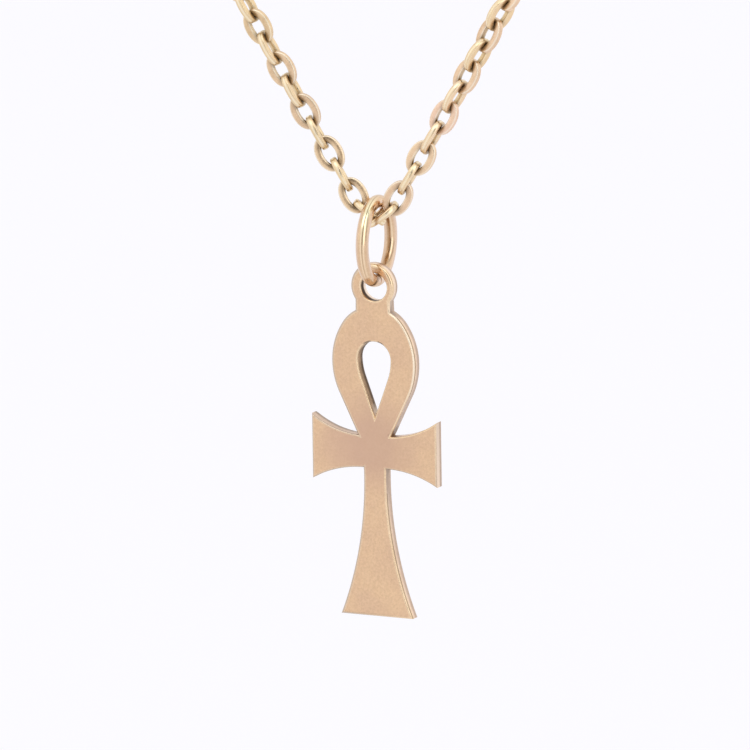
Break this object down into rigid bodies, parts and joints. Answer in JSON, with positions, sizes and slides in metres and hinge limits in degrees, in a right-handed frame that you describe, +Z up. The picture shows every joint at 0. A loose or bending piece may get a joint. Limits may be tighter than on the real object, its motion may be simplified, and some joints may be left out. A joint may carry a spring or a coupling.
{
  "type": "ankh pendant necklace",
  "caption": "Gold ankh pendant with a pierced eye, hanging from a round-wire jump ring on a whole trace chain necklace with a ring clasp.",
  "frame": {"origin": "under the clasp at the top of the loop, where the nape or a hook bears", "axes": "+Z up, the loop of chain in the XZ plane, front towards -Y"},
  "size_m": [0.1068, 0.0072, 0.2172],
  "materials": {
    "chain_gold": "satin yellow gold",
    "clasp_gold": "polished yellow gold",
    "ring_gold": "polished gold",
    "ankh_gold": "matt rose-tinted gold"
  },
  "bodies": {
    "necklace": {"chain": "chain_gold", "clasp": "clasp_gold"},
    "ring": {"jump_ring": "ring_gold"},
    "pendant": {"ankh": "ankh_gold"}
  },
  "joints": [
    {"name": "ring_swing", "type": "hinge", "parent": "necklace", "child": "ring", "pos_m": [0, 0, -0.18107], "axis": [0.9907, -0.1357, 0], "range_deg": [-80, 80]},
    {"name": "ankh_swing", "type": "hinge", "parent": "ring", "child": "pendant", "pos_m": [0, 0, -0.18419], "axis": [0.1357, 0.9907, 0], "range_deg": [-80, 80]}
  ]
}
